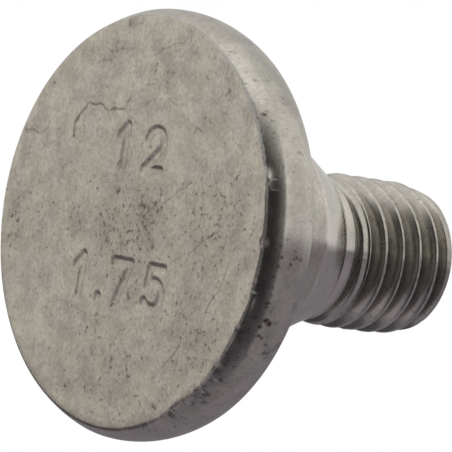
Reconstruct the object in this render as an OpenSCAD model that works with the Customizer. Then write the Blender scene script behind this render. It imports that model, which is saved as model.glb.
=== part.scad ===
// Blade bolt: a broad flat head, a plain shoulder that carries the blade,
// a cone down to the shank, and a rolled thread. One piece of steel.
// It stands on the flat face of its head, with the thread pointing up.

/* [Head] */
// Diameter of the widest ring round the head
rim_d = 32.4; // [31:0.1:38]
// Height of the widest ring above the flat face
rim_h = 2.1; // [1.8:0.1:2.6]
// Thickness of the head, from the flat face to the seat under it
head_h = 5; // [4:0.1:8]
// How far the edge of the flat face lies inside the widest ring
face_inset = 0.8; // [0.4:0.1:1.2]
// Height of the crease between the bevel and the side
crease_h = 1.4; // [0.8:0.1:1.6]
// How far the crease lies inside the widest ring
crease_inset = 0.06; // [0.02:0.01:0.12]
// Radius of the bevel's bulge between face and crease
bevel_bend = 5; // [3:0.1:12]
// How far the edge of the seat lies inside the widest ring, before rounding
seat_inset = 0.9; // [0.3:0.1:1.2]
// Radius of the rounding at the edge of the seat
seat_round = 1.2; // [0.4:0.1:1.4]

/* [Shoulder] */
// Diameter of the shoulder that carries the blade
shoulder_d = 16; // [14:0.1:22]
// Length of the shoulder, from the seat to its cone
shoulder_l = 7.7; // [4:0.1:14]
// Radius of the fillet between seat and shoulder
root_fillet = 0.5; // [0.2:0.1:1]
// Angle between the cone and the axis
cone_angle = 27; // [18:1:40]
// Radius of the rounding between shoulder and cone
cone_round = 1; // [0.2:0.1:2]
// Diameter at the end of the cone
shank_d = 12.3; // [11.6:0.1:13.4]

/* [Neck] */
// Diameter of the plain neck that the thread is rolled on
neck_d = 11; // [10.6:0.1:11.4]
// Length of the neck
neck_l = 0.85; // [0.4:0.05:3]

/* [Thread] */
// Nominal diameter of the thread
nominal_d = 12; // [11.8:0.1:13]
// How much smaller than nominal the crests are
crest_allowance = 0.14; // [0:0.01:0.3]
// Distance from one crest to the next
pitch = 1.75; // [1.25:0.25:2]
// Length from the start of the thread to the end of the bolt
thread_l = 10.5; // [8:0.1:30]
// Length over which the crests rise at the start of the thread
start_taper = 2.1; // [0.6:0.1:2.8]
// Direction in which the groove crosses the start of the thread
start_angle = 200; // [0:1:359]

/* [End] */
// Length over which the crests fall away towards the end
end_taper = 2; // [1:0.1:4]
// How far the crests have fallen at the end chamfer
taper_drop = 0.46; // [0.1:0.01:0.8]
// Width of the chamfer round the end
end_chamfer = 0.4; // [0.2:0.1:1]

/* [Hidden] */
$fn = 96;

// Radii
rim_r = rim_d/2;
face_r = rim_r - face_inset;
crease_r = rim_r - crease_inset;
seat_r = rim_r - seat_inset;
shoulder_r = shoulder_d/2;
shank_r = shank_d/2;
neck_r = neck_d/2;
crest_r = (nominal_d - crest_allowance)/2;
tip_r = crest_r - taper_drop;

// Heights above the flat face
cone_z = head_h + shoulder_l;
shank_z = cone_z + (shoulder_r - shank_r)/tan(cone_angle);
neck_slope = 50;
neck_z = shank_z + (shank_r - neck_r)/tan(neck_slope);
thread_z = neck_z + neck_l;
end_z = thread_z + thread_l;
tip_z = end_z - end_chamfer;

// Proportions of a coarse metric thread
flank_angle = 30;
thread_depth = 0.6134*pitch;
crest_flat = pitch/8;
root_bevel = pitch/20;

// The groove starts shallow and is full after two turns or so
run_out_lift = 0.7;
run_out_turns = 2.2;
// The groove's first turn, counted from the start of the thread
first_turn = -0.5;
// The cutting form reaches this far past the crests
past_crest = 0.1;
past_blank = 0.7;
steps_a_turn = 48;

function unit(v) = v/norm(v);

// What lies between the corner at p, with sides towards a and b, and an arc
// of radius r that touches both sides
module round_corner(p, a, b, r) {
    u = unit(a - p);
    v = unit(b - p);
    half = acos(u*v)/2;
    reach = r/tan(half);
    centre = p + unit(u + v)*r/sin(half);
    difference() {
        polygon([p, p + u*reach, centre, p + v*reach]);
        translate(centre) circle(r);
    }
}

// Centre of the arc that leaves the widest ring upright and ends at p
function side_centre(p) =
    let (gap = rim_r - p[0], rise = p[1] - rim_h)
    [rim_r - (gap*gap + rise*rise)/(2*gap), rim_h];

// Centre of the bevel's arc, which runs from a up to b
function bevel_centre(a, b) =
    let (half = (b - a)/2)
    a + half + unit([-half[1], half[0]])*sqrt(bevel_bend*bevel_bend - half*half);

// Half section between the heights of a and b, out to the arc round centre
// that joins them
module bulge(a, b, centre) {
    polygon([[0, a[1]], a, b, [0, b[1]]]);
    intersection() {
        translate([0, a[1]]) square([rim_r, b[1] - a[1]]);
        translate(centre) circle(norm(a - centre));
    }
}

// What lies beyond the rounding between the upper arc and the seat
module seat_corner(hub, bend) {
    rise = head_h - seat_round - hub[1];
    centre = hub + [sqrt(pow(bend - seat_round, 2) - rise*rise), rise];
    out = unit(centre - hub)*2*seat_round;
    up = [0, 2*seat_round];
    difference() {
        polygon([centre, centre + out, centre + out + up, centre + up]);
        translate(centre) circle(seat_round);
    }
}

// Half section of the head: a bevel up to the crease, and a side that
// bulges out to the widest ring
module head_section() {
    face_edge = [face_r, 0];
    crease = [crease_r, crease_h];
    widest = [rim_r, rim_h];
    seat_edge = [seat_r, head_h];
    hub = side_centre(seat_edge);
    bulge(face_edge, crease, bevel_centre(face_edge, crease));
    bulge(crease, widest, side_centre(crease));
    difference() {
        bulge(widest, seat_edge, hub);
        seat_corner(hub, rim_r - hub[0]);
    }
}

// Half section of shoulder, cone and neck, from inside the head up
module shank_section() {
    root = [shoulder_r, head_h];
    cone_top = [shoulder_r, cone_z];
    shank = [shank_r, shank_z];
    difference() {
        polygon([[0, rim_h], [shoulder_r, rim_h], cone_top, shank,
                 [neck_r, neck_z], [neck_r, thread_z], [0, thread_z]]);
        round_corner(cone_top, root, shank, cone_round);
    }
    round_corner(root, [rim_r, head_h], cone_top, root_fillet);
}

// Half section of the threaded end, before its groove is pressed in
module thread_section() {
    polygon([[0, thread_z], [neck_r, thread_z],
             [crest_r, thread_z + start_taper],
             [crest_r, tip_z - end_taper], [tip_r, tip_z],
             [tip_r - end_chamfer, end_z], [0, end_z]]);
}

// Depth below the crests and half width of the groove, from one side of its
// mouth round its root to the other
function groove_side() =
    let (tan_flank = tan(flank_angle),
         mouth = (pitch - crest_flat)/2,
         root = mouth - thread_depth*tan_flank)
    [[-past_blank, mouth + past_crest*tan_flank],
     [-past_crest, mouth + past_crest*tan_flank],
     [thread_depth - root_bevel, root + root_bevel*tan_flank],
     [thread_depth, root/2]];

function groove_section() =
    let (side = groove_side(), last = len(side) - 1)
    concat(side, [for (i = [last:-1:0]) [side[i][0], -side[i][1]]]);

// How far the groove is held out of the metal, a number of turns on
function lift(turns) =
    let (left = max(0, 1 - (turns - first_turn)/run_out_turns))
    run_out_lift*left*left;

// A ring of points: the groove's section at one place on the helix
function groove_ring(turns) =
    let (angle = start_angle + 360*turns,
         z = thread_z + pitch*turns,
         out = crest_r + lift(turns))
    [for (p = groove_section())
        [(out - p[0])*cos(angle), (out - p[0])*sin(angle), z + p[1]]];

// The right-handed groove as a solid, from half a turn below the start of
// the thread to a turn past the end of the bolt
module groove_sweep() {
    n = len(groove_section());
    rings = ceil((thread_l/pitch + 1 - first_turn)*steps_a_turn);
    points = [for (i = [0:rings]) each groove_ring(first_turn + i/steps_a_turn)];
    walls = [for (i = [0:rings - 1]) for (k = [0:n - 1])
        let (a = n*i + k, b = n*i + (k + 1)%n)
        each [[a, b, b + n], [a, b + n, a + n]]];
    caps = [[for (k = [n - 1:-1:0]) k], [for (k = [0:n - 1]) n*rings + k]];
    polyhedron(points, concat(walls, caps));
}

// The dies end at the start of the thread and press nothing in below it
module blade_bolt() {
    color([0.62, 0.61, 0.58]) {
        rotate_extrude() {
            head_section();
            shank_section();
        }
        difference() {
            rotate_extrude() thread_section();
            groove_sweep();
        }
    }
}

blade_bolt();
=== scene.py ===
"""The looks of a blade bolt: worn grey steel, standing on its head and seen from below its flat face."""
import math

import bmesh
import bpy
import numpy as np
from mathutils import Matrix, Vector, geometry, noise


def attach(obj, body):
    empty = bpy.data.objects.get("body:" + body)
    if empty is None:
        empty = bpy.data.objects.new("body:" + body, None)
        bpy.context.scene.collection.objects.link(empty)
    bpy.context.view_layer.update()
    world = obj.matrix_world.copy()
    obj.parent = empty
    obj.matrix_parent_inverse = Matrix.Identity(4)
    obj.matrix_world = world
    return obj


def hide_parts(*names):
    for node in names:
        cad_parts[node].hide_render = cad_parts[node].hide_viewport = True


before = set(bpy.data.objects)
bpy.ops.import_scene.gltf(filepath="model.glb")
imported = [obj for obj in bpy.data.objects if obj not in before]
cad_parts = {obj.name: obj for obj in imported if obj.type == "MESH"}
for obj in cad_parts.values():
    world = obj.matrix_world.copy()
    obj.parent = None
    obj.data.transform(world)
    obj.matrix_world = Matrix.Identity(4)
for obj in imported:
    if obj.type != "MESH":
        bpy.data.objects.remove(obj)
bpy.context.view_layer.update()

MM = 0.001

# Sizes of the bolt in millimetres, as the frame has them. Heights are above the flat face.
RIM_R, RIM_Z = 16.2, 2.1
FACE_R = RIM_R - 0.8
CREASE_R, CREASE_Z = RIM_R - 0.06, 1.4
BEVEL_BEND = 5.0
# The edge of the seat is a little fuller than the frame's, as the photo shows it
SEAT_R, SEAT_Z, SEAT_ROUND = RIM_R - 0.9, 5.0, 0.95
SHOULDER_R, CONE_Z = 8.0, 12.7
ROOT_FILLET, CONE_ROUND, SHANK_ROUND, NECK_ROUND = 0.5, 1.0, 0.25, 0.3
# The rings of the shank begin this far out on the seat
ROOT_R = SHOULDER_R + 1.5
SHANK_R, NECK_R = 6.15, 5.5
SHANK_Z = CONE_Z + (SHOULDER_R - SHANK_R) / math.tan(math.radians(27))
NECK_Z = SHANK_Z + (SHANK_R - NECK_R) / math.tan(math.radians(50))
THREAD_Z = NECK_Z + 0.85
THREAD_LENGTH = 10.5
END_Z = THREAD_Z + THREAD_LENGTH
END_CHAMFER = 0.4
TIP_Z = END_Z - END_CHAMFER
CREST_R, TIP_R = 5.93, 5.47
START_TAPER, END_TAPER = 2.1, 2.0
PITCH = 1.75
FLANK = math.tan(math.radians(30))
THREAD_DEPTH = 0.6134 * PITCH
MOUTH = (PITCH - PITCH / 8) / 2
START_ANGLE = math.radians(200)
FIRST_TURN, RUN_OUT_LIFT, RUN_OUT_TURNS = -0.5, 0.7, 2.2

# The photo's view: the angle between the bolt's axis and the line of sight, how far the axis
# falls to the right in the picture, how far off the camera stands, and where the flat face's
# centre lies in the picture.
FRAME_PX = 452
VIEW_ANGLE = math.radians(49.83)
VIEW_ROLL = math.radians(8.02)
VIEW_DISTANCE = 371.1
FOCAL_PX = 4997
FACE_CENTRE_PX = (128.6, 221.7)
SENSOR_WIDTH = 36
# The nearest and the furthest that the camera shows, in metres
CLIP = (0.01, 10)

# Columns of the mesh round the shank, and the most that its rows are apart in millimetres
SHANK_COLUMNS, SHANK_STEP = 240, 0.7
# Degrees between the head's columns on the side that the photo shows and on the other, and the
# directions between which that side lies
SEEN_STEP, HIDDEN_STEP = 0.25, 1.25
SEEN_FROM, SEEN_TO = -62, 78


def view_axes():
    """Right, down and forward of the photo's view, in the bolt's frame."""
    s, c = math.sin(VIEW_ANGLE), math.cos(VIEW_ANGLE)
    forward = Vector((0, s, c))
    along = Vector((0, -c, s))
    across = forward.cross(along)
    right = along * math.cos(VIEW_ROLL) - across * math.sin(VIEW_ROLL)
    return right, forward.cross(right), forward


VIEW_RIGHT, VIEW_DOWN, VIEW_FORWARD = view_axes()


def seen(right, up, back):
    """A direction given as the camera sees it, with back towards it, in the bolt's frame."""
    return (VIEW_RIGHT * right - VIEW_DOWN * up - VIEW_FORWARD * back).normalized()


def make_camera():
    """The camera stands where the photo was taken from."""
    data = bpy.data.cameras.new("camera")
    data.sensor_width = SENSOR_WIDTH
    data.lens = FOCAL_PX / FRAME_PX * SENSOR_WIDTH
    data.clip_start, data.clip_end = CLIP
    camera = bpy.data.objects.new("camera", data)
    bpy.context.scene.collection.objects.link(camera)
    aside, below = [(p - FRAME_PX / 2) / FOCAL_PX * VIEW_DISTANCE for p in FACE_CENTRE_PX]
    place = -(VIEW_RIGHT * aside + VIEW_DOWN * below + VIEW_FORWARD * VIEW_DISTANCE)
    turn = Matrix((VIEW_RIGHT, -VIEW_DOWN, -VIEW_FORWARD)).transposed()
    camera.matrix_world = Matrix.Translation(place * MM) @ turn.to_4x4()
    bpy.context.scene.camera = camera


# Directions round the bolt are in degrees from the camera's side, -Y, towards +X, which is
# down in the picture.

def around(degrees):
    """The angle from +X of a direction round the bolt."""
    return math.radians(degrees - 90)


def rough(x, y=0.0, z=0.0):
    """Smooth noise between about -1 and 1."""
    return noise.noise(Vector((x, y, z)))


def fading(away, reach):
    """1 at a place and less the further away, about a third at the distance reach."""
    return np.exp(-(away / reach) ** 2)


def value_at(table, place):
    """What a table of places and values says at a place, or between two of them."""
    return np.interp(place, *zip(*table))


def clamped(value):
    """The value, kept between 0 and 1."""
    return min(1, max(0, value))


def put_in_scene(mesh):
    """A new object of a mesh's name, with that mesh."""
    piece = bpy.data.objects.new(mesh.name, mesh)
    bpy.context.scene.collection.objects.link(piece)
    return piece


# Where the edge of the flat face stands out or is torn in: direction, reach in degrees and how
# far in millimetres
EDGE_MARKS = [
    (-137, 34, 0.1), (-17.5, 2.2, 0.17), (-14, 1.2, 0.08), (0.3, 1.4, -0.27), (17, 3, 0.15),
    (25, 1.0, -0.1), (30, 4, -0.07), (38, 1.2, -0.1), (46, 1.0, 0.08), (57, 4, -0.24),
    (65.5, 1.5, 0.03), (88, 12, 0.08),
]
# How worn the edge is by direction, and how high the marks and the small unevenness reach
EDGE_WORN = [(-60, 0.2), (-25, 1), (70, 1), (90, 0.2)]
MARK_HEIGHT, UNEVEN_HEIGHT = 0.32, 0.16


def edge_shift(degrees, z):
    """How far the bevel lies outside its plain form at a height. The marks reach about a third of
    the way up it, the small unevenness only along the edge."""
    marks = sum(far * fading(degrees - at, reach) for at, reach, far in EDGE_MARKS)
    uneven = 0.045 * rough(degrees / 5, 3.3) + 0.03 * rough(degrees / 1.1, 7.7)
    uneven *= value_at(EDGE_WORN, degrees)
    return marks * fading(z, MARK_HEIGHT) + uneven * fading(z, UNEVEN_HEIGHT)


def arc(start, end, centre, steps):
    """Points of the arc round centre from start to end, both included."""
    a, b, c = np.array(start), np.array(end), np.array(centre)
    a0 = math.atan2(*(a - c)[::-1])
    a1 = math.atan2(*(b - c)[::-1])
    turn = (a1 - a0 + math.pi) % (2 * math.pi) - math.pi
    radius = np.linalg.norm(a - c)
    angles = np.linspace(a0, a0 + turn, steps)
    return [tuple(c + radius * np.array((math.cos(t), math.sin(t)))) for t in angles]


def straight(start, end, steps):
    """Points strictly between two points of a profile."""
    return [tuple(np.array(start) + (np.array(end) - start) * k / (steps + 1)) for k in range(1, steps + 1)]


def rounded(before, corner, after, radius, steps):
    """Points of the arc that rounds a corner of a profile."""
    p, a, b = np.array(corner), np.array(before), np.array(after)
    u = (a - p) / np.linalg.norm(a - p)
    v = (b - p) / np.linalg.norm(b - p)
    half = math.acos(float(u @ v)) / 2
    centre = p + (u + v) / np.linalg.norm(u + v) * radius / math.sin(half)
    return arc(p + u * radius / math.tan(half), p + v * radius / math.tan(half), centre, steps)


def side_centre(r, z):
    """Centre of the arc that leaves the widest ring upright and passes through another ring."""
    gap, rise = RIM_R - r, z - RIM_Z
    return RIM_R - (gap * gap + rise * rise) / (2 * gap), RIM_Z


def bevel_centre():
    """Centre of the arc between the flat face and the crease."""
    a, b = np.array((FACE_R, 0)), np.array((CREASE_R, CREASE_Z))
    half = (b - a) / 2
    inward = np.array((-half[1], half[0])) / np.linalg.norm(half)
    return a + half + inward * math.sqrt(BEVEL_BEND ** 2 - half @ half)


def head_profile():
    """Radius and height from the edge of the flat face to the flat of the seat."""
    face, crease, widest = (FACE_R, 0), (CREASE_R, CREASE_Z), (RIM_R, RIM_Z)
    hub = np.array(side_centre(SEAT_R, SEAT_Z))
    reach, rise = RIM_R - hub[0] - SEAT_ROUND, SEAT_Z - SEAT_ROUND - RIM_Z
    turn = hub + (math.sqrt(reach * reach - rise * rise), rise)
    leave = turn + (turn - hub) / np.linalg.norm(turn - hub) * SEAT_ROUND
    points = arc(face, crease, bevel_centre(), 12)
    points += arc(crease, widest, side_centre(*crease), 6)[1:]
    points += arc(widest, leave, hub, 11)[1:]
    points += arc(leave, (turn[0], SEAT_Z), turn, 9)[1:]
    return points


def shank_profile():
    """Radius and height from the flat of the seat to the start of the thread."""
    seat, root, cone = (ROOT_R, SEAT_Z), (SHOULDER_R, SEAT_Z), (SHOULDER_R, CONE_Z)
    shank, neck, start = (SHANK_R, SHANK_Z), (NECK_R, NECK_Z), (NECK_R, THREAD_Z)
    corners = [(seat, root, cone, ROOT_FILLET, 6), (root, cone, shank, CONE_ROUND, 6),
               (cone, shank, neck, SHANK_ROUND, 5), (shank, neck, start, NECK_ROUND, 5)]
    points = [seat]
    for before, corner, after, radius, steps in corners:
        bend = rounded(before, corner, after, radius, steps)
        rows = int(math.dist(points[-1], bend[0]) / SHANK_STEP)
        points += straight(points[-1], bend[0], rows) + bend
    return points + straight(points[-1], start, 1) + [start]


# How far the shoulder and the cone lie off the axis, towards the top of the picture, by height
LEAN = [(SEAT_Z + 0.6, 0), (SEAT_Z + 2, 0.28), (CONE_Z + 0.6, 0.28), (SHANK_Z - 0.6, 0.13),
        (SHANK_Z + 0.3, 0)]


def soft_min(a, b, reach):
    """The lesser of two numbers, with the corner between them rounded."""
    near = np.clip(reach - np.abs(a - b), 0, None) / reach
    return np.minimum(a, b) - near * near * reach / 4


# Radius of the threaded end before its groove, by height
ENVELOPE = [(THREAD_Z, NECK_R), (THREAD_Z + START_TAPER, CREST_R), (TIP_Z - END_TAPER, CREST_R),
            (TIP_Z, TIP_R), (END_Z, TIP_R - END_CHAMFER)]
# The seam that rolling leaves along the first crest: its place beside the middle of the crest,
# half its width, its depth and the turns over which it fades
SEAM_ASIDE, SEAM_HALF, SEAM_DEPTH = 0.06, 0.12, 0.08
SEAM_FADE = (1.05, 1.6)


def seam(turns, u):
    """Depth of the seam at a distance u from the middle of the groove."""
    past = np.where(u > 0, u - PITCH / 2, u + PITCH / 2) - SEAM_ASIDE
    crest_turns = turns + np.where(u > 0, 0.5, -0.5)
    fade = np.clip((SEAM_FADE[1] - crest_turns) / (SEAM_FADE[1] - SEAM_FADE[0]), 0, 1)
    return SEAM_DEPTH * fade * np.clip(1 - np.abs(past) / SEAM_HALF, 0, 1)


# How far rolling has left the middle of the flanks standing out, the depth of small dents along
# the crests, and over how much the corner between crest and flank is rounded
FLANK_BULGE, DENT_DEPTH, CREST_ROUND = 0.12, 0.03, 0.07


def dents(turns, u):
    """Depth of small dents along the crests."""
    crest_turns = turns + np.where(u > 0, 0.5, -0.5)
    wavy = [rough(t * 31, 4.4) + 0.8 * rough(t * 90, 9.1) for t in crest_turns]
    return DENT_DEPTH * np.clip(wavy, 0, None)


def thread_radius(z, turns, u):
    """Radius of the thread at height z, a distance u from the middle of a groove."""
    left = np.clip(1 - (turns - FIRST_TURN) / RUN_OUT_TURNS, 0, None)
    depth = np.clip((MOUTH - np.abs(u)) / FLANK, None, THREAD_DEPTH)
    part = np.clip(depth / THREAD_DEPTH, 0, 1)
    groove = CREST_R + RUN_OUT_LIFT * left * left - depth + FLANK_BULGE * 4 * part * (1 - part)
    return soft_min(value_at(ENVELOPE, z) - seam(turns, u) - dents(turns, u), groove, CREST_ROUND)


# Distances from the middle of the groove at which the thread's mesh has a row, with one more row
# on the crest
HALF_ROWS = [0.07, 0.15, 0.26, 0.38, 0.5, 0.61, 0.7, 0.75, 0.785, 0.82]
ROWS = [-u for u in HALF_ROWS[::-1]] + [0] + HALF_ROWS + [0.855]
# Turns of the groove that the mesh has rows for, some of them past either end
TURNS = range(-2, math.ceil(THREAD_LENGTH / PITCH) + 2)
# Rings of the end face, as shares of its radius
END_RINGS = (0.95, 0.7, 0.35)


class Shape:
    """Points and faces of the bolt, joined up as they are added."""

    def __init__(self):
        self.points = []
        self.faces = []

    def add(self, points):
        """Adds points and returns their numbers."""
        first = len(self.points)
        self.points += [tuple(p) for p in points]
        return list(range(first, first + len(points)))

    def band(self, lower, upper):
        """Quads between two rings of the same count, the upper one further on."""
        n = len(lower)
        for j in range(n):
            k = (j + 1) % n
            self.faces.append((lower[j], lower[k], upper[k], upper[j]))

    def fill(self, ring, hole, places, upward):
        """Triangles between a ring and a hole in it, or none, through other points in their plane."""
        inside = self.add(places)
        index = ring + hole + inside
        flat = [Vector(self.points[i][:2]) for i in index]
        n, m = len(ring), len(hole)
        edges = [(j, (j + 1) % n) for j in range(n)] + [(n + j, n + (j + 1) % m) for j in range(m)]
        only_inside, same_place = 1, 1e-6
        found = geometry.delaunay_2d_cdt(flat, edges, [], only_inside, same_place, True)
        _, _, triangles, origins, _, _ = found
        inputs = [index[ids[0]] for ids in origins]
        closed = set(range(n, n + m))
        for triangle in triangles:
            if closed.issuperset(origins[k][0] for k in triangle):
                continue
            corners = [inputs[k] for k in triangle]
            self.faces.append(tuple(corners if upward else corners[::-1]))
        return inside


def head_angles():
    """Directions of the head's columns: close together on the side that the photo shows."""
    shown = np.arange(SEEN_FROM, SEEN_TO, SEEN_STEP)
    hidden = np.arange(SEEN_TO, SEEN_FROM + 360, HIDDEN_STEP)
    return np.concatenate([shown, hidden])


def add_head(shape):
    """Rings from the edge of the flat face to the seat. Returns the first and the last."""
    first = last = None
    angles = head_angles()
    for r, z in head_profile():
        ring = []
        for degrees in angles:
            out = r
            if z < CREASE_Z:
                out += edge_shift(degrees if degrees < 180 else degrees - 360, z)
            ring.append((out * math.cos(around(degrees)), out * math.sin(around(degrees)), z))
        ring = shape.add(ring)
        if last is not None:
            shape.band(last, ring)
        first = first or ring
        last = ring
    return first, last


def add_shank(shape, angles):
    """Rings from the flat of the seat to the neck. Returns the first and the last."""
    first = last = None
    for r, z in shank_profile():
        aside = value_at(LEAN, z)
        ring = shape.add([(r * math.cos(a) - aside, r * math.sin(a), z) for a in angles])
        if last is not None:
            shape.band(last, ring)
        first = first or ring
        last = ring
    return first, last


def thread_columns(angles):
    """For each angle the heights and radii of the thread's rows, from its start to the end."""
    offsets = np.array(ROWS)
    columns = []
    for a in angles:
        part = (a - START_ANGLE) / (2 * math.pi)
        z = np.concatenate([THREAD_Z + PITCH * (part + m) + offsets for m in TURNS])
        u = np.concatenate([offsets for _ in TURNS])
        turns = np.concatenate([np.full(len(offsets), part + m) for m in TURNS])
        # The nearest row moves to each edge of the tapered end
        for edge in (TIP_Z - END_TAPER, TIP_Z):
            near = int(np.argmin(np.abs(z - edge)))
            u[near] += edge - z[near]
            z[near] = edge
        held = np.clip(z, THREAD_Z, END_Z)
        r = thread_radius(held, turns, u + held - z)
        columns.append((held, r, z <= THREAD_Z, z >= END_Z))
    return columns


def radius_at(z, angle):
    """Radius of the thread at a height and an angle."""
    part = (angle - START_ANGLE) / (2 * math.pi)
    found = []
    for m in TURNS:
        u = z - (THREAD_Z + PITCH * (part + m))
        if abs(u) <= PITCH / 2:
            found.append(float(thread_radius(np.array([z]), np.array([part + m]), np.array([u]))[0]))
    return min(found)


def add_thread(shape, angles, neck):
    """The helical thread and the end of the bolt, joined to the neck's last ring."""
    columns = thread_columns(angles)
    count = len(columns[0][0])
    index = []
    for a, (z, r, low, high) in zip(angles, columns):
        start_r, end_r = radius_at(THREAD_Z, a), radius_at(END_Z, a)
        r = np.where(low, start_r, np.where(high, end_r, r))
        index.append(shape.add([(q * math.cos(a), q * math.sin(a), h) for q, h in zip(r, z)]))
    n = len(angles)
    for j in range(n):
        here, there = index[j], index[(j + 1) % n]
        skip = 0 if j < n - 1 else len(ROWS)
        for k in range(count - 1 - skip):
            shape.faces.append((here[k], there[k + skip], there[k + 1 + skip], here[k + 1]))
    shape.band(neck, [column[0] for column in index])
    last = [column[-1] for column in index]
    ring = last
    for share in END_RINGS:
        inner = shape.add([(shape.points[i][0] * share, shape.points[i][1] * share, END_Z) for i in last])
        shape.band(ring, inner)
        ring = inner
    middle = shape.add([(0, 0, END_Z)])[0]
    for j in range(n):
        shape.faces.append((ring[j], ring[(j + 1) % n], middle))


# Places on the flat face are (right, down) in millimetres from its centre, as the photo shows
# it: right is -Y and down is +X.

def bow(centre, radii, start, end):
    """Points along part of an ellipse, from start to end in degrees from the right, anticlockwise."""
    return [(centre[0] + radii[0] * math.cos(t), centre[1] + radii[1] * math.sin(t))
            for t in np.radians(np.linspace(start, end, 13))]


# Plain numbers, in boxes one wide and one high, each a list of strokes
DIGITS = {
    "1": [[(0.22, 0.74), (0.6, 1), (0.6, 0)]],
    "2": [bow((0.5, 0.7), (0.47, 0.3), 165, -35) + [(0.03, 0), (1, 0)]],
    "5": [[(0.92, 1), (0.16, 1), (0.08, 0.56)] + bow((0.44, 0.34), (0.52, 0.34), 125, -145)],
    "7": [[(0, 1), (1, 1), (0.36, 0)]],
    ".": [[(0.5, 0.02), (0.5, 0.05)]],
}
DIGIT_W, DIGIT_H = 2.0, 3.0
# Each number's left end, its base, and the distances between its digits
NUMBERS = [("12", (-2.9, -4.1), (0, 3.7)), ("1.75", (-6.0, 5.9), (0, 2.5, 4.9, 8.9))]
STAMP_TILT = math.radians(1.5)
# Half the width of a stroke, the width of its sloping wall and its depth
STROKE_HALF, STROKE_WALL, STROKE_DEPTH = 0.54, 0.42, 0.15
# Height and half width of the low lip that stamping raises round a stroke
LIP_HEIGHT, LIP_HALF = 0.012, 0.12


def stamped_strokes():
    """The strokes of the stamped numbers, as places on the flat face."""
    strokes = []
    c, s = math.cos(STAMP_TILT), math.sin(STAMP_TILT)
    for text, (left, base), steps in NUMBERS:
        for digit, step in zip(text, steps):
            for stroke in DIGITS[digit]:
                local = [(step + DIGIT_W * x, -DIGIT_H * y) for x, y in stroke]
                strokes.append([(left + x * c - y * s, base + x * s + y * c) for x, y in local])
    return strokes


# Dark lines and scratches on the flat face: half width, strength and places along each
CRACKS = [
    (0.13, 1.0, [(-7.9, -5.8), (-8.0, -6.7), (-7.5, -7.5), (-7.2, -8.0)]),
    (0.08, 0.9, [(-7.2, -8.0), (-6.8, -8.4), (-5.6, -8.4), (-4.9, -8.4), (-4.2, -8.1), (-3.2, -8.3),
                 (-2.5, -8.2)]),
    (0.09, 0.8, [(-2.5, -8.2), (-2.1, -8.6), (-1.9, -9.2)]),
    (0.07, 0.6, [(-14.3, -5.7), (-13.2, -5.9), (-12.2, -5.85), (-11.6, -5.95), (-11.1, -6.3)]),
    (0.05, 0.6, [(4.6, -14.7), (4.0, -14.0), (3.6, -13.6), (2.7, -13.45), (1.6, -13.1), (0.8, -12.7),
                 (0.1, -12.4)]),
    (0.04, 0.35, [(-1.4, -8.3), (-0.4, -8.5), (0.3, -8.9), (1.0, -9.3), (2.0, -9.4)]),
    (0.04, 0.45, [(2.3, -8.8), (2.5, -9.4), (3.5, -9.0), (4.7, -9.1)]),
    (0.06, 0.6, [(3.6, -1.6), (4.4, -2.1), (5.2, -2.7), (6.0, -3.0), (6.6, -3.5)]),
    (0.04, 0.4, [(6.9, -3.6), (7.8, -2.9), (8.3, -2.0), (8.7, -0.7)]),
    (0.04, 0.6, [(7.4, 1.9), (8.2, 1.1), (9.0, 0.6), (9.8, 0.2), (10.5, -0.3), (11.0, -1.0), (11.5, -1.7)]),
    (0.05, 0.55, [(12.5, 0.9), (12.2, 2.0), (11.6, 3.4), (11.2, 4.2), (10.8, 4.7)]),
    (0.09, 0.8, [(10.8, 4.5), (10.5, 5.1), (10.3, 5.7)]),
    (0.1, 0.7, [(7.8, 8.5), (7.3, 9.1), (6.9, 9.5)]),
    (0.05, 0.5, [(6.9, 9.5), (6.4, 10.2)]),
    (0.04, 0.35, [(-9.2, 7.6), (-7.8, 6.8), (-6.4, 6.55), (-5.0, 6.75), (-4.0, 7.2), (-3.0, 7.35),
                  (-1.0, 7.35)]),
    (0.03, 0.3, [(-7.4, -5.4), (-7.0, -3.2), (-7.1, -1.2), (-6.9, 1.0), (-6.7, 3.4), (-6.4, 5.9)]),
    (0.07, 0.7, [(11.8, -4.7), (11.5, -4.1), (11.3, -3.7)]),
    (0.04, 0.4, [(-0.9, -2.4), (0.0, -2.45), (0.8, -2.8), (1.2, -3.1)]),
    (0.07, 0.7, [(9.2, -10.1), (9.6, -10.5), (9.2, -10.6)]),
    (0.07, 0.8, [(6.2, -7.0), (6.3, -7.5), (6.7, -7.3)]),
    (0.07, 0.6, [(6.5, -11.4), (6.9, -11.2)]),
    (0.05, 0.5, [(-5.5, -12.7), (-4.4, -12.4), (-3.4, -12.7), (-2.2, -12.8)]),
    (0.05, 0.5, [(-7.0, -11.3), (-5.9, -11.7), (-4.6, -11.9)]),
    (0.05, 0.5, [(-3.0, -11.2), (-2.2, -11.5), (-1.4, -11.4)]),
    (0.05, 0.5, [(-0.2, -10.2), (0.3, -10.5), (0.8, -10.5)]),
    (0.06, 0.7, [(10.1, -3.0), (10.5, -2.5), (11.0, -2.0)]),
    (0.06, 0.6, [(7.3, 11.4), (6.9, 11.9), (7.3, 12.2)]),
    (0.05, 0.45, [(0.9, 8.0), (0.2, 9.0), (-0.2, 10.0), (-0.6, 11.0)]),
    (0.05, 0.45, [(-13.7, -3.9), (-13.2, -4.0), (-12.9, -4.2)]),
    (0.04, 0.4, [(12.5, -1.0), (13.6, -0.6), (14.3, 0.3)]),
    (0.05, 0.5, [(5.6, 2.6), (6.4, 2.2), (7.1, 1.8)]),
    (0.05, 0.5, [(11.6, -6.7), (11.9, -5.9)]),
    (0.04, 0.45, [(9.0, -4.6), (9.2, -3.9), (9.0, -3.2)]),
]

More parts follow.
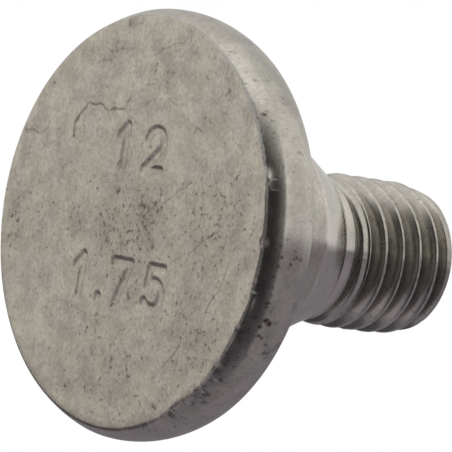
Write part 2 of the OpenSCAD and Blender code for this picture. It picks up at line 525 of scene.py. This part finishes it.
# Patches where dark specks lie close together: place, reach and strength
SPECKS = [
    (-2.8, 0.2, 1.0, 0.8), (-3.8, 0.4, 0.5, 0.6), (2.0, -1.2, 1.3, 1.0), (3.2, -1.3, 0.7, 1.0),
    (2.4, 0.1, 1.0, 0.9), (0.6, 0.6, 1.0, 0.8), (-0.3, 1.7, 0.7, 0.7), (-1.8, -2.3, 0.8, 0.9),
    (-6.0, -0.1, 0.9, 0.6), (-5.3, -2.8, 1.0, 0.45), (2.4, -11.1, 0.8, 0.8), (2.0, -12.0, 0.8, 0.5),
    (-13.6, 0.6, 1.3, 0.8), (-14.2, 2.6, 0.9, 0.8), (-13.0, 2.0, 0.7, 0.7), (-10.7, -0.2, 0.5, 0.6),
    (5.9, 13.2, 0.45, 1.0), (2.5, 11.6, 0.6, 0.9), (-4.8, 12.7, 0.8, 0.6), (-2.7, 12.9, 0.5, 0.6),
    (7.6, -8.2, 1.3, 0.45), (-4.4, -12.6, 1.2, 0.5), (-3.0, -14.7, 0.6, 0.9), (-5.0, -14.4, 0.4, 0.9),
    (12.4, 0.2, 1.2, 0.4), (14.2, 1.8, 0.8, 0.6), (13.0, 4.0, 1.6, 0.4), (1.2, 5.2, 0.6, 0.9),
    (-11.0, -10.0, 1.2, 0.3), (4.0, 13.0, 1.4, 0.5), (10.6, -2.6, 0.8, 0.6), (1.4, 3.0, 0.9, 0.5),
    (-8.0, 2.6, 1.2, 0.35), (4.4, -12.0, 1.6, 0.3), (7.0, 8.2, 1.6, 0.3), (-7.6, -12.0, 0.8, 0.4),
    (0.5, -11.5, 0.5, 0.6), (9.0, 4.0, 1.5, 0.3), (2.0, 14.0, 1.2, 0.5), (-1.4, 2.8, 0.6, 0.5),
    (0.5, 0.5, 5.5, 0.6), (9.5, 0.0, 5.0, 0.6), (9.0, 8.0, 4.5, 0.6), (-1.0, 10.5, 6.0, 0.45),
    (-10.5, 1.0, 5.0, 0.3), (-2.2, 0.4, 2.2, 0.85), (1.6, -0.6, 2.0, 0.95), (-0.4, 1.8, 1.4, 0.85),
    (2.8, 1.4, 1.2, 0.75), (-6.0, 0.6, 1.4, 0.7),
]

# Rust spots and dirt on the head's side: direction, height, half width or reach, and strength
SIDE_RUST = [
    (1.5, 2.5, 0.12, 0.9), (5, 2.35, 0.11, 0.9), (3.2, 2.9, 0.11, 0.8), (3.4, 3.3, 0.14, 0.8),
    (3.6, 2.6, 0.1, 0.6), (20.5, 1.6, 0.17, 1.0), (21.2, 2.0, 0.17, 1.0), (22.5, 1.35, 0.14, 0.7),
    (25, 1.55, 0.14, 0.8), (25.5, 1.9, 0.1, 0.6), (27.5, 2.7, 0.13, 0.8), (30, 2.95, 0.12, 0.8),
    (30, 3.35, 0.13, 0.7), (29, 3.7, 0.15, 0.5), (16, 1.25, 0.12, 0.9), (8.8, 1.15, 0.12, 0.9),
    (3.4, 1.42, 0.11, 0.8), (6, 1.35, 0.08, 0.7), (11.5, 1.3, 0.08, 0.7), (13.5, 1.32, 0.08, 0.7),
    (-35, 0.62, 0.13, 0.8), (-24.5, 3.0, 0.15, 0.35), (28, 4.15, 0.25, 0.5), (16, 4.2, 0.3, 0.25),
    (47, 0.7, 0.15, 0.5), (41, 0.9, 0.13, 0.5), (52, 0.5, 0.12, 0.5), (-46, 0.9, 0.12, 0.4),
    (36, 0.5, 0.14, 0.4), (0.5, 1.3, 0.1, 0.5),
]
SIDE_DIRT = [
    (19, 0.5, 1.4, 0.7), (34, 0.5, 1.1, 0.8), (48, 0.4, 1.1, 0.9), (60, 0.2, 1.1, 0.9),
    (72, 0.1, 1.1, 0.8), (2, 1.4, 0.5, 0.6), (-30, 0.8, 1.2, 0.3), (-60, 2.6, 1.2, 0.3),
    (25, 2.2, 1.0, 0.5), (30, 3.2, 0.8, 0.5), (3, 3.0, 0.8, 0.3), (-42, 3.0, 1.4, 0.5),
    (12, 0.4, 1.0, 0.6), (5, 0.5, 1.0, 0.5), (54, 0.6, 1.0, 0.6), (41, 0.4, 1.0, 0.8),
    (26, 0.5, 1.2, 0.7),
]
# Painted shade on the head's side towards the top of the picture: direction, height, reach, strength
SIDE_PAINTED_SHADE = [
    (-92, 3.0, 3.2, 0.24), (-80, 3.0, 3.0, 0.25), (-66, 3.0, 3.0, 0.29), (-52, 3.1, 2.6, 0.29),
    (-40, 3.4, 2.0, 0.18),
]
# Bright nicks on the bevel and the edge, and a painted highlight along the edge in the three long ones at
# -50, -33 and -20: direction, height, half length along and up, strength
NICKS_AND_PAINTED_HIGHLIGHT = [
    (-57, 0.28, 0.10, 0.12, 1.0), (-45, 0.35, 0.25, 0.05, 0.5), (-16.5, 0.45, 0.05, 0.3, 0.7),
    (-15.6, 0.25, 0.2, 0.06, 0.6), (1.6, 0.1, 0.07, 0.15, 0.5), (14, 0.12, 0.1, 0.2, 0.9),
    (41.6, 0.55, 0.08, 0.14, 1.0), (47, 0.45, 0.08, 0.1, 0.8), (53, 0.3, 0.1, 0.1, 0.9),
    (-50, 0.05, 4.0, 0.07, 0.9), (-33, 0.05, 4.0, 0.07, 0.8), (-20, 0.05, 2.0, 0.07, 0.7),
    (-13.8, 0.6, 0.04, 0.25, 0.5), (11, 0.08, 0.12, 0.07, 0.6), (-19, 0.07, 0.5, 0.09, 0.8),
]


# How far from its middle a dark line, a rust spot, a nick and the painted highlight end, in half widths.
# Each is at full strength up to one less.
LINE_END, RUST_END, NICK_AND_HIGHLIGHT_END = 1.5, 1.7, 1.6
# How far noise shifts a dark line, in millimetres with waves per millimetre, coarse and fine, and
# how far it shifts the places on the head's side, along and up
JAGS = ((0.16, 1.3), (0.06, 4))
SIDE_SHIFT = (0.08, 0.1)


def distance(places, path):
    """Distance from each place to a path of straight stretches."""
    nearest = np.full(len(places), np.inf)
    for a, b in zip(path[:-1], path[1:]):
        a, b = np.array(a), np.array(b)
        along = b - a
        t = np.clip((places - a) @ along / max(along @ along, 1e-9), 0, 1)
        nearest = np.minimum(nearest, np.linalg.norm(places - a - t[:, None] * along, axis=1))
    return nearest


def jagged(places):
    """The places shifted a little by noise, so that what is drawn along a path is crooked."""
    def shift(x, y, seeds):
        return sum(far * rough(x * waves, y * waves, seed) for (far, waves), seed in zip(JAGS, seeds))

    return places + np.array([(shift(x, y, (1.7, 5.2)), shift(x, y, (8.4, 12.9))) for x, y in places])


def crack_strength(places):
    """How dark the lines are at each place, from 0 to 1."""
    bent = jagged(places)
    strength = np.zeros(len(places))
    for half, much, path in CRACKS:
        line = np.clip(LINE_END - distance(bent, path) / half, 0, 1)
        strength = np.maximum(strength, much * line)
    broken = np.array([0.75 + 0.5 * rough(x * 2.2, y * 2.2, 20.3) for x, y in places])
    return np.clip(strength * broken, 0, 1)


def from_stroke(places):
    """Distance from each place to the nearest stroke of the stamped numbers."""
    return np.min([distance(places, stroke) for stroke in stamped_strokes()], axis=0)


def stamp_depth(places):
    """Depth of the stamped numbers at each place."""
    nearest = from_stroke(places)
    inside = np.clip((STROKE_HALF - nearest) / STROKE_WALL, 0, 1)
    wall = inside * inside * (3 - 2 * inside)
    return STROKE_DEPTH * wall - LIP_HEIGHT * fading(nearest - STROKE_HALF - LIP_HALF, LIP_HALF)


# The narrow rounding along the edge of the flat face: how high it starts on the bevel, and rings
# inside the edge with their heights
ROUNDING_START, ROUNDING = 0.09, ((0.05, 0.03), (0.14, 0.0))
# Inside this circle the flat face is filled in, since its worn edge lies outside it all round
FLAT_R = FACE_R - 0.6
# Distances between the points that fill it, and how far the close ones reach round strokes and lines
FINE_GRID, COARSE_GRID = 0.072, 0.5
STROKE_ROOM, LINE_ROOM = 0.2, 0.24
# Depth of the dark lines
LINE_DEPTH = 0.03


def face_places():
    """Places of the flat face's points, close together at numbers and dark lines."""
    def grid(step):
        reach = np.arange(-FACE_R, FACE_R, step)
        right, down = np.meshgrid(reach, reach)
        places = np.stack([right.ravel(), down.ravel()], axis=1)
        return places[np.linalg.norm(places, axis=1) < FLAT_R - 0.15]

    def busy(places):
        from_line = np.min([distance(places, path) - LINE_END * half for half, _, path in CRACKS], axis=0)
        return (from_stroke(places) < STROKE_HALF + STROKE_ROOM) | (from_line < LINE_ROOM)

    fine, coarse = grid(FINE_GRID), grid(COARSE_GRID)
    return np.concatenate([fine[busy(fine)], coarse[~busy(coarse)]])


def add_face(shape, edge):
    """The flat face with its stamped numbers, inside a narrow rounding along its edge."""
    ring = edge
    for inward, height in ROUNDING:
        inner = []
        for i in edge:
            x, y, _ = shape.points[i]
            share = 1 - inward / math.hypot(x, y)
            inner.append((x * share, y * share, height))
        inner = shape.add(inner)
        shape.band(inner, ring)
        ring = inner
    for i in edge:
        x, y, _ = shape.points[i]
        shape.points[i] = (x, y, ROUNDING_START)
    angles = [around(degrees) for degrees in head_angles()]
    flat = shape.add([(FLAT_R * math.cos(a), FLAT_R * math.sin(a), 0) for a in angles])
    shape.band(flat, ring)
    places = face_places()
    depth = np.clip(stamp_depth(places) + LINE_DEPTH * crack_strength(places), 0, None)
    inside = [(down, -right, d) for (right, down), d in zip(places, depth)]
    shape.fill(flat, [], inside, upward=False)


def face_wear(points):
    """Strength of dark lines and of specks at points of the flat face."""
    places = np.stack([-points[:, 1], points[:, 0]], axis=1)
    specks = np.zeros(len(points))
    for right, down, reach, much in SPECKS:
        away = np.linalg.norm(places - (right, down), axis=1)
        specks = np.maximum(specks, much * fading(away, reach))
    return crack_strength(places), specks


def side_wear_and_painted_light(points):
    """Strength of painted shade, dirt, rust, and bright nicks with a painted highlight, at points of the
    head's side.
    """
    degrees, z = np.degrees(np.arctan2(points[:, 0], -points[:, 1])), points[:, 2]
    wave = [(rough(d * 0.8, h * 3, 2.1), rough(d * 0.8, h * 3, 9.3)) for d, h in zip(degrees, z)]
    shift_along, shift_up = (np.array(wave) * SIDE_SHIFT).T

    def away(at, height):
        along = (degrees - at) * math.radians(1) * RIM_R
        return along + shift_along, z - height + shift_up

    painted_shade, dirt, rust, bright_marks = np.zeros((4, len(points)))
    # Painted shade on the side towards the top of the picture, and dirt
    for strength, places in ((painted_shade, SIDE_PAINTED_SHADE), (dirt, SIDE_DIRT)):
        for at, height, reach, much in places:
            np.maximum(strength, much * fading(np.hypot(*away(at, height)), reach), out=strength)
    for at, height, half, much in SIDE_RUST:
        spot = np.clip(RUST_END - np.hypot(*away(at, height)) / half, 0, 1)
        rust = np.maximum(rust, much * spot)
    # Bright nicks, and the painted highlight along the edge of the flat face
    for at, height, long, tall, much in NICKS_AND_PAINTED_HIGHLIGHT:
        along, up = away(at, height)
        nick_and_highlight = np.clip(NICK_AND_HIGHLIGHT_END - np.hypot(along / long, up / tall), 0, 1)
        bright_marks = np.maximum(bright_marks, much * nick_and_highlight)
    return painted_shade, dirt, rust, bright_marks


# How dark the painted shade in the groove is, by direction in degrees, and how far below the crests it
# begins and is full
GROOVE_PAINTED_SHADE = [
    (-180, 0.3), (-140, 0.07), (-55, 0.07), (-15, 0.6), (35, 0.6), (62, 0.1), (78, 0.4), (95, 0.9),
    (130, 0.6), (180, 0.3),
]
GROOVE_SHADE_BEGINS, GROOVE_SHADE_FULL = 0.2, 0.7
# Distances from the middle of a crest: the wear on it is full out to the first and ends at the
# second
CREST_FULL, CREST_END = 0.12, 0.2


def thread_wear_and_painted_shade(points):
    """Strength of the painted shade in the groove, with gaps in the crests, and of bright nicks on them."""
    shade, bright_marks = np.zeros((2, len(points)))
    for k, (x, y, z) in enumerate(points):
        along = (z - THREAD_Z) / PITCH
        turns = along - (math.atan2(y, x) - START_ANGLE) / (2 * math.pi)
        from_crest = abs(turns - math.floor(turns) - 0.5) * PITCH
        on_crest = clamped((CREST_END - from_crest) / (CREST_END - CREST_FULL))
        below = CREST_R - math.hypot(x, y)
        # Painted shade, darker deeper in the groove and by direction
        painted_shade = value_at(GROOVE_PAINTED_SHADE, math.degrees(math.atan2(x, -y)))
        painted_shade *= clamped((below - GROOVE_SHADE_BEGINS) / (GROOVE_SHADE_FULL - GROOVE_SHADE_BEGINS))
        shade[k] = max(painted_shade, on_crest * clamped(1.6 * rough(along * 45, 6.1)))
        bright_marks[k] = on_crest * clamped(2.4 * rough(along * 60, 2.9) - 0.6)
    return shade, bright_marks


# Heights between which the materials change, the inner radius of the seat's, and the most that the
# normals of the flat face point up
FACE_TO, SEAT_FROM, CONE_FROM = 0.5, SEAT_Z - 0.1, CONE_Z - 0.3
SEAT_INSIDE, FACE_UPRIGHT = SHOULDER_R + 1, -0.8
# The kinds of wear and painted light: dark lines and painted shade, dirt with its specks, rust, and bright
# nicks with a painted highlight
WEAR_AND_PAINTED_LIGHT = ("shade", "dirt", "rust", "nick_and_highlight")


def write_wear_and_painted_light(mesh):
    """Keeps the strength of each kind of wear and painted light with the mesh's points, for the materials.
    """
    points = np.array([v.co for v in mesh.vertices]) / MM
    radius, z = np.hypot(points[:, 0], points[:, 1]), points[:, 2]
    # Points along the worn edge take the wear of the face and of the side
    face = (radius < FACE_R - 0.1) & (z < FACE_TO)
    side = (radius > FACE_R - 0.7) & (z > 0.02) & (z < SEAT_FROM)
    thread = (z > THREAD_Z) & (z < TIP_Z)
    shade, dirt, rust, nick_and_highlight = np.zeros((4, len(points)))
    shade[face], dirt[face] = face_wear(points[face])
    painted_shade, side_dirt, rust[side], nick_and_highlight[side] = side_wear_and_painted_light(points[side])
    # Painted shade on the side joins the dark lines
    shade[side] = np.maximum(shade[side], painted_shade)
    dirt[side] = np.maximum(dirt[side], side_dirt)
    # Painted shade in the groove, with dark gaps and bright nicks on the crests
    shade[thread], nick_and_highlight[thread] = thread_wear_and_painted_shade(points[thread])
    for name, strength in zip(WEAR_AND_PAINTED_LIGHT, (shade, dirt, rust, nick_and_highlight)):
        layer = mesh.attributes.new(name, "FLOAT", "POINT")
        layer.data.foreach_set("value", strength.astype(np.float32))


# The mesh's materials in order. Each has its name, two colours, how much the grain changes them,
# its roughness, and the height of its bumps in millimetres.
FACE, SIDE, SEAT, CONE, THREAD = range(5)
FINISHES = [
    ("steel_face", (0.553, 0.517, 0.433, 1), (0.549, 0.502, 0.446, 1), 0.1, 0.42, 0.004),
    ("steel_side", (0.6, 0.577, 0.518, 1), (0.6, 0.559, 0.512, 1), 0.07, 0.22, 0.006),
    # The seat is much darker and rougher than the rest, so that the thread's flanks mirror it dark
    ("steel_seat", (0.2, 0.188, 0.155, 1), (0.185, 0.173, 0.147, 1), 0.08, 0.75, 0.006),
    ("steel_cone", (0.69, 0.662, 0.604, 1), (0.69, 0.651, 0.604, 1), 0.03, 0.08, 0.002),
    ("steel_thread", (0.59, 0.567, 0.507, 1), (0.58, 0.55, 0.507, 1), 0.06, 0.235, 0.002),
]


def finish_of(middle, upright):
    """Which material a face of the mesh has, by its middle in millimetres and its normal's z."""
    radius = math.hypot(middle.x, middle.y)
    if middle.z > THREAD_Z:
        return THREAD
    if middle.z > SEAT_FROM:
        if radius > SEAT_INSIDE:
            return SEAT
        return CONE if middle.z > CONE_FROM else SIDE
    flat = middle.z < FACE_TO and upright < FACE_UPRIGHT
    return FACE if flat and radius < FACE_R + 0.3 else SIDE


# Points closer than this, in metres, are one, and edges sharper than this aren't smoothed
SAME_POINT, SHARP_ANGLE = 2e-6, math.radians(52)


def make_bolt():
    """One closed mesh of the whole bolt."""
    shape = Shape()
    edge, seat = add_head(shape)
    angles = [2 * math.pi * j / SHANK_COLUMNS for j in range(SHANK_COLUMNS)]
    root, neck = add_shank(shape, angles)
    shape.fill(seat, root, [], upward=True)
    add_face(shape, edge)
    add_thread(shape, angles, neck)
    mesh = bpy.data.meshes.new("bolt")
    mesh.from_pydata((np.array(shape.points) * MM).tolist(), [], shape.faces)
    work = bmesh.new()
    work.from_mesh(mesh)
    bmesh.ops.remove_doubles(work, verts=work.verts, dist=SAME_POINT)
    bmesh.ops.dissolve_degenerate(work, edges=work.edges, dist=SAME_POINT)
    bmesh.ops.recalc_face_normals(work, faces=work.faces)
    for f in work.faces:
        f.material_index = finish_of(f.calc_center_median() / MM, f.normal.z)
    work.to_mesh(mesh)
    open_edges = sum(1 for e in work.edges if not e.is_manifold)
    triangles = sum(len(f.verts) - 2 for f in work.faces)
    print("bolt: %d points, %d triangles, %d edges not closed" % (len(work.verts), triangles, open_edges))
    work.free()
    mesh.shade_smooth()
    mesh.set_sharp_from_angle(angle=SHARP_ANGLE)
    write_wear_and_painted_light(mesh)
    return put_in_scene(mesh)


def socket(node, name, value):
    """Sets an input of a node to a plain value."""
    node.inputs[name].default_value = value


class Nodes:
    """Short ways to add nodes to a tree."""

    def __init__(self, tree):
        self.tree = tree

    def add(self, kind, **settings):
        node = self.tree.nodes.new(kind)
        for name, value in settings.items():
            setattr(node, name, value)
        return node

    def feed(self, target, value):
        """Links an output to an input, or sets the input to a plain value."""
        if isinstance(value, bpy.types.NodeSocket):
            self.tree.links.new(value, target)
        else:
            target.default_value = value

    def math(self, operation, a, b=0.0):
        node = self.add("ShaderNodeMath", operation=operation)
        self.feed(node.inputs[0], a)
        self.feed(node.inputs[1], b)
        return node.outputs[0]

    def times(self, a, b):
        return self.math("MULTIPLY", a, b)

    def less(self, level, strength, share):
        """A level made less by a share of itself where something is strong."""
        return self.times(level, self.math("SUBTRACT", 1.0, self.times(strength, share)))

    def ramp(self, value, start, end, low, high):
        """A smooth step from low to high as the value goes from start to end."""
        node = self.add("ShaderNodeMapRange", interpolation_type="SMOOTHSTEP")
        names = ("Value", "From Min", "From Max", "To Min", "To Max")
        for name, number in zip(names, (value, start, end, low, high)):
            self.feed(node.inputs[name], number)
        return node.outputs["Result"]

    def mix(self, factor, a, b):
        node = self.add("ShaderNodeMix", data_type="RGBA")
        self.feed(node.inputs[0], factor)
        self.feed(node.inputs[6], a)
        self.feed(node.inputs[7], b)
        return node.outputs[2]

    def shade(self, colour, level):
        """A colour made darker or lighter by a number."""
        node = self.add("ShaderNodeVectorMath", operation="SCALE")
        self.feed(node.inputs[0], colour)
        self.feed(node.inputs["Scale"], level)
        return node.outputs[0]

    def along(self, place, direction):
        """How far a place lies in a direction."""
        node = self.add("ShaderNodeVectorMath", operation="DOT_PRODUCT")
        self.feed(node.inputs[0], place)
        node.inputs[1].default_value = direction
        return node.outputs["Value"]

    def millimetres(self, stretch=(1, 1, 1)):
        """The place on the bolt in millimetres, squeezed along each axis by stretch."""
        node = self.add("ShaderNodeMapping")
        self.feed(node.inputs["Vector"], self.add("ShaderNodeTexCoord").outputs["Object"])
        node.inputs["Scale"].default_value = [s / MM for s in stretch]
        return node.outputs[0]

    def noise(self, place, scale, detail=2.0, roughness=0.5):
        """Noise round 0.5, scale times per millimetre."""
        node = self.add("ShaderNodeTexNoise")
        self.feed(node.inputs["Vector"], place)
        socket(node, "Scale", scale)
        socket(node, "Detail", detail)
        socket(node, "Roughness", roughness)
        return node.outputs["Fac"]

    def worn(self, name):
        """How strong a kind of wear is, as the mesh keeps it."""
        return self.add("ShaderNodeAttribute", attribute_name=name).outputs["Fac"]


def bare_material(mesh):
    """Gives a mesh a material of its name with no nodes yet. Returns short ways to add them."""
    material = bpy.data.materials.new(mesh.name)
    material.use_nodes = True
    material.node_tree.nodes.clear()
    mesh.materials.append(material)
    return Nodes(material.node_tree)


# Noise of the finish: times per millimetre, detail and roughness
FINE, BLOTCHES, PATCHES = (3.2, 3.0, 0.6), (0.6, 4.0, 0.6), (0.28, 3.0, 0.5)
SPECK_NOISE, HAIR_NOISE, STREAKS = (2.0, 5.0, 0.7), (0.5, 3.0, 0.6), (1.0, 2.0, 0.5)
# The part of the noise over which a finish changes, gently or more sharply
GENTLE, SHARPER = (0.3, 0.7), (0.38, 0.62)
# Streaks are long round the shank and short across
STREAK_STRETCH = (0.14, 1.3, 0.6)
# Noise above this is a dark speck, and so is less of it where there is dirt
SPECK_ABOVE, SPECK_SOFT, SPECK_IN_DIRT = 0.605, 0.1, 0.13
# Hair lines run where noise is this near its middle, and fade in between these values of the patches
HAIR_NEAR, HAIR_STRENGTH, HAIR_PATCHES = 0.01, 0.45, (0.48, 0.6)
# The fine noise changes the colour by this many times the grain, and the streaks by this much
FINE_TIMES, STREAK_CHANGE = 1.2, 0.01
# Shares of the colour that specks, dark lines with painted shade, and dirt take away
SPECK_SHADE, LINE_AND_PAINTED_SHADE, DIRT_SHADE = 0.52, 0.68, 0.26
# Colours of rust, and of bright nicks that also paint a highlight along the edge of the flat face
RUST_COLOUR, NICK_AND_HIGHLIGHT_COLOUR = (0.075, 0.04, 0.028, 1), (0.8, 0.79, 0.76, 1)
# How far rust hides the metal, how rough rust, nicks and the painted highlight are, how much smoother
# or rougher the patches are, how much rougher specks are, and how deep they lie against the fine grain
RUST_MATTE, MATTE_ROUGHNESS = 0.8, 0.6
SMOOTHER, ROUGHER, SPECK_ROUGHER, SPECK_SINK = 0.03, 0.04, 0.1, 0.6


def dark_specks(nodes, place, patches, dirt):
    """Strength of dark specks, and of hair lines in some of the patches."""
    above = nodes.math("SUBTRACT", SPECK_ABOVE, nodes.times(dirt, SPECK_IN_DIRT))
    full = nodes.math("ADD", above, SPECK_SOFT)
    specks = nodes.ramp(nodes.noise(place, *SPECK_NOISE), above, full, 0.0, 1.0)
    from_hair = nodes.math("ABSOLUTE", nodes.math("SUBTRACT", nodes.noise(place, *HAIR_NOISE), 0.5))
    hairs = nodes.ramp(from_hair, 0.0, HAIR_NEAR, HAIR_STRENGTH, 0.0)
    hairs = nodes.times(hairs, nodes.ramp(patches, *HAIR_PATCHES, 0.0, 1.0))
    return nodes.math("MAXIMUM", specks, hairs)


def uneven_level(nodes, fine, blotches, grain):
    """Level of the colour, made uneven by fine grain, blotches and faint streaks."""
    streaks = nodes.noise(nodes.millimetres(STREAK_STRETCH), *STREAKS)
    level = nodes.ramp(fine, *GENTLE, 1 - FINE_TIMES * grain, 1 + FINE_TIMES * grain)
    level = nodes.times(level, nodes.ramp(blotches, *SHARPER, 1 - grain, 1 + grain))
    return nodes.times(level, nodes.ramp(streaks, *GENTLE, 1 - STREAK_CHANGE, 1 + STREAK_CHANGE))


def steel(name, base, other, grain, roughness, relief):
    """A steel surface: two colours in patches, grain, specks, dark lines with painted shade, rust, and
    bright nicks with a painted highlight.
    """
    material = bpy.data.materials.new(name)
    material.use_nodes = True
    nodes = Nodes(material.node_tree)
    shader = material.node_tree.nodes["Principled BSDF"]
    place = nodes.millimetres()
    fine, patches = nodes.noise(place, *FINE), nodes.noise(place, *PATCHES)
    shade, dirt, rust, nick_and_highlight = [nodes.worn(kind) for kind in WEAR_AND_PAINTED_LIGHT]
    dark = dark_specks(nodes, place, patches, dirt)
    level = uneven_level(nodes, fine, nodes.noise(place, *BLOTCHES), grain)
    level = nodes.less(level, dark, SPECK_SHADE)
    # Dark lines, with painted shade on the head's side and in the groove
    level = nodes.less(level, shade, LINE_AND_PAINTED_SHADE)
    level = nodes.less(level, dirt, DIRT_SHADE)
    colour = nodes.mix(nodes.ramp(patches, *SHARPER, 0.0, 1.0), base, other)
    colour = nodes.mix(rust, nodes.shade(colour, level), RUST_COLOUR)
    # Bright nicks, and the painted highlight along the edge of the flat face
    nodes.feed(shader.inputs["Base Color"], nodes.mix(nick_and_highlight, colour, NICK_AND_HIGHLIGHT_COLOUR))
    matte = nodes.math("MAXIMUM", nodes.times(rust, RUST_MATTE), nick_and_highlight)
    nodes.feed(shader.inputs["Metallic"], nodes.math("SUBTRACT", 1.0, matte))
    spread = nodes.ramp(patches, *GENTLE, roughness - SMOOTHER, roughness + ROUGHER)
    spread = nodes.math("ADD", spread, nodes.times(dark, SPECK_ROUGHER))
    spread = nodes.math("MAXIMUM", spread, nodes.times(matte, MATTE_ROUGHNESS))
    nodes.feed(shader.inputs["Roughness"], spread)
    bump = nodes.add("ShaderNodeBump")
    socket(bump, "Strength", 1.0)
    socket(bump, "Distance", relief * MM)
    nodes.feed(bump.inputs["Height"], nodes.math("SUBTRACT", fine, nodes.times(dark, SPECK_SINK)))
    nodes.feed(shader.inputs["Normal"], bump.outputs[0])
    return material


def make_world():
    """Plain white all round."""
    world = bpy.data.worlds.new("studio")
    world.use_nodes = True
    background = world.node_tree.nodes["Background"]
    socket(background, "Color", (1, 1, 1, 1))
    socket(background, "Strength", 1.0)
    bpy.context.scene.world = world


TENT_RADIUS = 1.2
# How the tent changes the white. Each line has a direction as the camera sees it (right, up, back),
# the cosines of the angle from it between which the level changes, and the level at each.
TENT_LEVELS = [
    # A third of the light below a sharp horizon, and a little less straight below
    ((0, 1, 0), -0.15, -0.05, 0.34, 1.0),
    ((0, 1, 0), -1.0, -0.5, 0.88, 1.0),
    # Four fifths of the light anywhere but overhead, and less from the right
    ((0, 0.985, 0.17), 0.82, 0.98, 0.8, 1.0),
    ((1, 0, 0), 0.85, 1.0, 1.0, 0.78),
    # Dark round the camera, in two steps, and below it
    ((0, 0.2, 0.98), 0.54, 0.72, 1.0, 0.33),
    ((0, 0.2, 0.98), 0.68, 0.89, 1.0, 0.1),
    ((0, -0.6, 0.8), 0.7, 0.95, 1.0, 0.28),
    # Less from behind the bolt, and much less from the lower left behind it
    ((0, 0, 1), -0.92, -0.4, 0.77, 1.0),
    ((-0.8, -0.45, -0.4), 0.86, 0.95, 1.0, 0.3),
    # A lighter place on the lower left, which the flanks of the thread mirror
    ((-0.78, -0.49, 0.4), 0.94, 0.985, 1.0, 1.5),
]
# The least level anywhere, with a faint glow on the left of the camera
TENT_LEAST = ((-0.5, 0.05, 0.86), 0.8, 0.95, 0.03, 0.14)
# Tints of the cloth below and above the horizon, and where one turns into the other
LOW_TINT, HIGH_TINT, TINT_TURNS = (1.0, 0.93, 1.04, 1), (1.0, 0.99, 0.97, 1), (-0.2, 0.0)


def tent_level(nodes, place):
    """How much of the white the tent lets through, by direction."""
    def level_by(direction, start, end, low, high):
        return nodes.ramp(nodes.along(place, seen(*direction)), start, end, low, high)

    level = 1.0
    for entry in TENT_LEVELS:
        level = nodes.times(level, level_by(*entry))
    return nodes.math("MAXIMUM", level, level_by(*TENT_LEAST))


def make_tent():
    """A round tent of thin cloth between the bolt and the white: clear, grey or dark by direction."""
    mesh = bpy.data.meshes.new("tent")
    work = bmesh.new()
    bmesh.ops.create_icosphere(work, subdivisions=4, radius=TENT_RADIUS)
    work.to_mesh(mesh)
    work.free()
    tent = put_in_scene(mesh)
    tent.visible_camera = False
    nodes = bare_material(mesh)
    direction = nodes.add("ShaderNodeVectorMath", operation="NORMALIZE")
    nodes.feed(direction.inputs[0], nodes.add("ShaderNodeTexCoord").outputs["Object"])
    up = nodes.along(direction.outputs[0], seen(0, 1, 0))
    tint = nodes.mix(nodes.ramp(up, *TINT_TURNS, 0.0, 1.0), LOW_TINT, HIGH_TINT)
    cloth = nodes.add("ShaderNodeBsdfTransparent")
    nodes.feed(cloth.inputs["Color"], nodes.shade(tint, tent_level(nodes, direction.outputs[0])))
    nodes.feed(nodes.add("ShaderNodeOutputMaterial").inputs["Surface"], cloth.outputs[0])


# Half the floor's side and its height in metres
FLOOR_HALF, FLOOR_Z = 1.5, -0.00005
FLOOR_COLOUR = (0.85, 0.85, 0.84, 1)


def make_floor():
    """A pale floor that shows only from above, since the photo looks up at the bolt from below it."""
    mesh = bpy.data.meshes.new("floor")
    corners = [(x * FLOOR_HALF, y * FLOOR_HALF, FLOOR_Z) for x, y in ((-1, -1), (1, -1), (1, 1), (-1, 1))]
    mesh.from_pydata(corners, [], [(0, 1, 2, 3)])
    floor = put_in_scene(mesh)
    floor.visible_diffuse = floor.visible_glossy = floor.visible_shadow = False
    nodes = bare_material(mesh)
    pale = nodes.add("ShaderNodeBsdfDiffuse")
    socket(pale, "Color", FLOOR_COLOUR)
    clear = nodes.add("ShaderNodeBsdfTransparent")
    mix = nodes.add("ShaderNodeMixShader")
    nodes.feed(mix.inputs[0], nodes.add("ShaderNodeNewGeometry").outputs["Backfacing"])
    nodes.feed(mix.inputs[1], pale.outputs[0])
    nodes.feed(mix.inputs[2], clear.outputs[0])
    nodes.feed(nodes.add("ShaderNodeOutputMaterial").inputs["Surface"], mix.outputs[0])


bpy.context.scene.view_settings.view_transform = "Standard"
make_camera()
make_world()
make_tent()
make_floor()
bolt = make_bolt()
for finish in FINISHES:
    bolt.data.materials.append(steel(*finish))
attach(bolt, "root")
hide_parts("blade_bolt")
